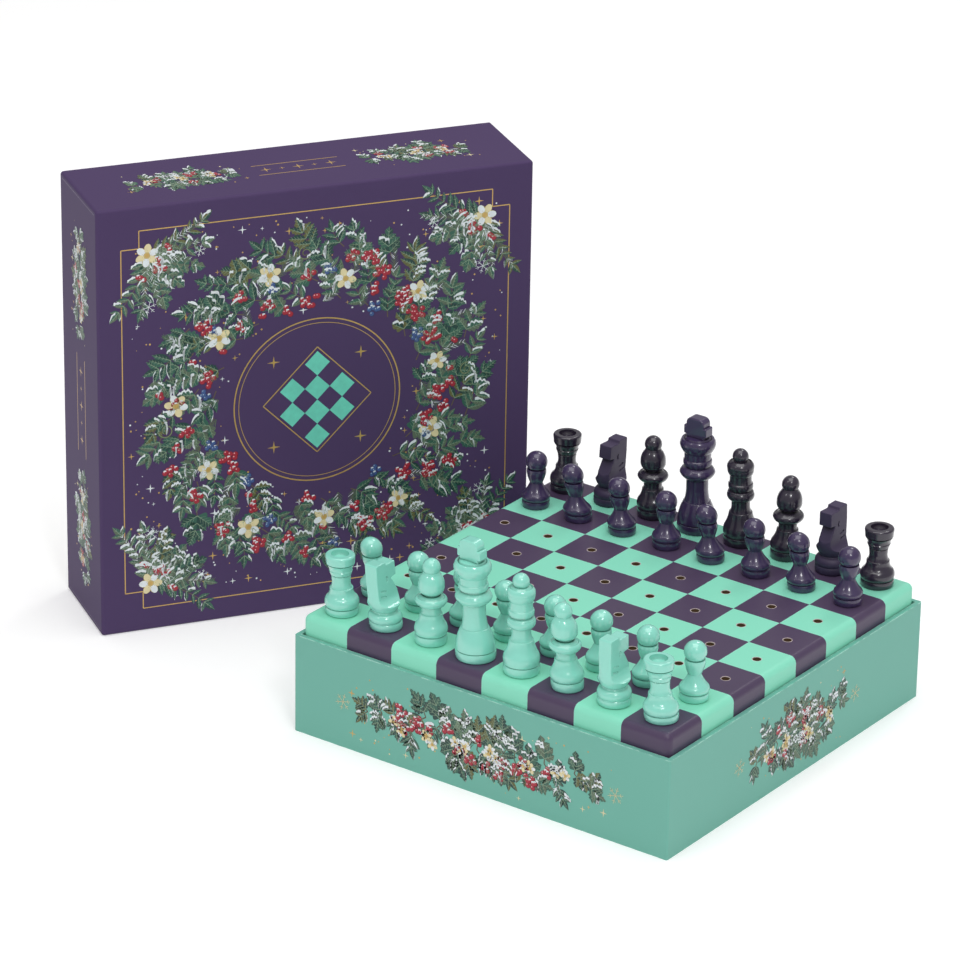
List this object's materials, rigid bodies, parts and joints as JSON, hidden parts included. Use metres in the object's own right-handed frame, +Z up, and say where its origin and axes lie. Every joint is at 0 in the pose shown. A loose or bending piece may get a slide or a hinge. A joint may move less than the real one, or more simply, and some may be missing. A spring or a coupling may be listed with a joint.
{
  "type": "travel chess set",
  "caption": "Travel chess set: open card tray with a nested peg board, turned wooden chessmen in its holes and a deep lift-off lid standing beside it.",
  "frame": {"origin": "centre of the tray's underside, on the surface it stands on", "axes": "+Z up; +X along the light side's back rank, from its rook_1 to its rook_2; +Y from the light side to the dark side"},
  "size_m": [0.3084, 0.1857, 0.1718],
  "materials": {
    "greyboard": "raw grey-tan card",
    "mint_paper": "printed matt laminated paper, mint green",
    "purple_paper": "printed matt laminated paper, deep purple",
    "plain_paper": "plain uncoated lining paper",
    "light_print": "printed paper, light squares",
    "dark_print": "printed paper, dark squares",
    "light_men": "turned wood, mint satin gloss lacquer",
    "dark_men": "turned wood, deep purple gloss lacquer"
  },
  "bodies": {
    "tray": {"tray_carton": "greyboard", "tray_wrap": "mint_paper", "tray_liner": "plain_paper"},
    "board": {"board_carton": "greyboard", "board_stiffener": "greyboard", "light_squares": "light_print", "dark_squares": "dark_print"},
    "lid": {"lid_carton": "greyboard", "lid_wrap": "purple_paper", "lid_liner": "plain_paper"},
    "light_rook_1": {"light_rook_1": "light_men"},
    "light_knight_1": {"light_knight_1": "light_men"},
    "light_bishop_1": {"light_bishop_1": "light_men"},
    "light_king": {"light_king": "light_men"},
    "light_queen": {"light_queen": "light_men"},
    "light_bishop_2": {"light_bishop_2": "light_men"},
    "light_knight_2": {"light_knight_2": "light_men"},
    "light_rook_2": {"light_rook_2": "light_men"},
    "light_pawn_1": {"light_pawn_1": "light_men"},
    "light_pawn_2": {"light_pawn_2": "light_men"},
    "light_pawn_3": {"light_pawn_3": "light_men"},
    "light_pawn_4": {"light_pawn_4": "light_men"},
    "light_pawn_5": {"light_pawn_5": "light_men"},
    "light_pawn_6": {"light_pawn_6": "light_men"},
    "light_pawn_7": {"light_pawn_7": "light_men"},
    "light_pawn_8": {"light_pawn_8": "light_men"},
    "dark_rook_1": {"dark_rook_1": "dark_men"},
    "dark_knight_1": {"dark_knight_1": "dark_men"},
    "dark_bishop_1": {"dark_bishop_1": "dark_men"},
    "dark_king": {"dark_king": "dark_men"},
    "dark_queen": {"dark_queen": "dark_men"},
    "dark_bishop_2": {"dark_bishop_2": "dark_men"},
    "dark_knight_2": {"dark_knight_2": "dark_men"},
    "dark_rook_2": {"dark_rook_2": "dark_men"},
    "dark_pawn_1": {"dark_pawn_1": "dark_men"},
    "dark_pawn_2": {"dark_pawn_2": "dark_men"},
    "dark_pawn_3": {"dark_pawn_3": "dark_men"},
    "dark_pawn_4": {"dark_pawn_4": "dark_men"},
    "dark_pawn_5": {"dark_pawn_5": "dark_men"},
    "dark_pawn_6": {"dark_pawn_6": "dark_men"},
    "dark_pawn_7": {"dark_pawn_7": "dark_men"},
    "dark_pawn_8": {"dark_pawn_8": "dark_men"}
  },
  "joints": [
    {"name": "board_lift", "type": "slide", "parent": "tray", "child": "board", "axis": [0, 0, 1], "range_m": [0, 0.06]},
    {"name": "lid_lift", "type": "slide", "parent": "tray", "child": "lid", "axis": [0, 0, 1], "range_m": [0, 0.11]},
    {"name": "light_rook_1_lift", "type": "slide", "parent": "board", "child": "light_rook_1", "axis": [0, 0, 1], "range_m": [0, 0.06]},
    {"name": "light_knight_1_lift", "type": "slide", "parent": "board", "child": "light_knight_1", "axis": [0, 0, 1], "range_m": [0, 0.06]},
    {"name": "light_bishop_1_lift", "type": "slide", "parent": "board", "child": "light_bishop_1", "axis": [0, 0, 1], "range_m": [0, 0.06]},
    {"name": "light_king_lift", "type": "slide", "parent": "board", "child": "light_king", "axis": [0, 0, 1], "range_m": [0, 0.06]},
    {"name": "light_queen_lift", "type": "slide", "parent": "board", "child": "light_queen", "axis": [0, 0, 1], "range_m": [0, 0.06]},
    {"name": "light_bishop_2_lift", "type": "slide", "parent": "board", "child": "light_bishop_2", "axis": [0, 0, 1], "range_m": [0, 0.06]},
    {"name": "light_knight_2_lift", "type": "slide", "parent": "board", "child": "light_knight_2", "axis": [0, 0, 1], "range_m": [0, 0.06]},
    {"name": "light_rook_2_lift", "type": "slide", "parent": "board", "child": "light_rook_2", "axis": [0, 0, 1], "range_m": [0, 0.06]},
    {"name": "light_pawn_1_lift", "type": "slide", "parent": "board", "child": "light_pawn_1", "axis": [0, 0, 1], "range_m": [0, 0.06]},
    {"name": "light_pawn_2_lift", "type": "slide", "parent": "board", "child": "light_pawn_2", "axis": [0, 0, 1], "range_m": [0, 0.06]},
    {"name": "light_pawn_3_lift", "type": "slide", "parent": "board", "child": "light_pawn_3", "axis": [0, 0, 1], "range_m": [0, 0.06]},
    {"name": "light_pawn_4_lift", "type": "slide", "parent": "board", "child": "light_pawn_4", "axis": [0, 0, 1], "range_m": [0, 0.06]},
    {"name": "light_pawn_5_lift", "type": "slide", "parent": "board", "child": "light_pawn_5", "axis": [0, 0, 1], "range_m": [0, 0.06]},
    {"name": "light_pawn_6_lift", "type": "slide", "parent": "board", "child": "light_pawn_6", "axis": [0, 0, 1], "range_m": [0, 0.06]},
    {"name": "light_pawn_7_lift", "type": "slide", "parent": "board", "child": "light_pawn_7", "axis": [0, 0, 1], "range_m": [0, 0.06]},
    {"name": "light_pawn_8_lift", "type": "slide", "parent": "board", "child": "light_pawn_8", "axis": [0, 0, 1], "range_m": [0, 0.06]},
    {"name": "dark_rook_1_lift", "type": "slide", "parent": "board", "child": "dark_rook_1", "axis": [0, 0, 1], "range_m": [0, 0.06]},
    {"name": "dark_knight_1_lift", "type": "slide", "parent": "board", "child": "dark_knight_1", "axis": [0, 0, 1], "range_m": [0, 0.06]},
    {"name": "dark_bishop_1_lift", "type": "slide", "parent": "board", "child": "dark_bishop_1", "axis": [0, 0, 1], "range_m": [0, 0.06]},
    {"name": "dark_king_lift", "type": "slide", "parent": "board", "child": "dark_king", "axis": [0, 0, 1], "range_m": [0, 0.06]},
    {"name": "dark_queen_lift", "type": "slide", "parent": "board", "child": "dark_queen", "axis": [0, 0, 1], "range_m": [0, 0.06]},
    {"name": "dark_bishop_2_lift", "type": "slide", "parent": "board", "child": "dark_bishop_2", "axis": [0, 0, 1], "range_m": [0, 0.06]},
    {"name": "dark_knight_2_lift", "type": "slide", "parent": "board", "child": "dark_knight_2", "axis": [0, 0, 1], "range_m": [0, 0.06]},
    {"name": "dark_rook_2_lift", "type": "slide", "parent": "board", "child": "dark_rook_2", "axis": [0, 0, 1], "range_m": [0, 0.06]},
    {"name": "dark_pawn_1_lift", "type": "slide", "parent": "board", "child": "dark_pawn_1", "axis": [0, 0, 1], "range_m": [0, 0.06]},
    {"name": "dark_pawn_2_lift", "type": "slide", "parent": "board", "child": "dark_pawn_2", "axis": [0, 0, 1], "range_m": [0, 0.06]},
    {"name": "dark_pawn_3_lift", "type": "slide", "parent": "board", "child": "dark_pawn_3", "axis": [0, 0, 1], "range_m": [0, 0.06]},
    {"name": "dark_pawn_4_lift", "type": "slide", "parent": "board", "child": "dark_pawn_4", "axis": [0, 0, 1], "range_m": [0, 0.06]},
    {"name": "dark_pawn_5_lift", "type": "slide", "parent": "board", "child": "dark_pawn_5", "axis": [0, 0, 1], "range_m": [0, 0.06]},
    {"name": "dark_pawn_6_lift", "type": "slide", "parent": "board", "child": "dark_pawn_6", "axis": [0, 0, 1], "range_m": [0, 0.06]},
    {"name": "dark_pawn_7_lift", "type": "slide", "parent": "board", "child": "dark_pawn_7", "axis": [0, 0, 1], "range_m": [0, 0.06]},
    {"name": "dark_pawn_8_lift", "type": "slide", "parent": "board", "child": "dark_pawn_8", "axis": [0, 0, 1], "range_m": [0, 0.06]}
  ]
}
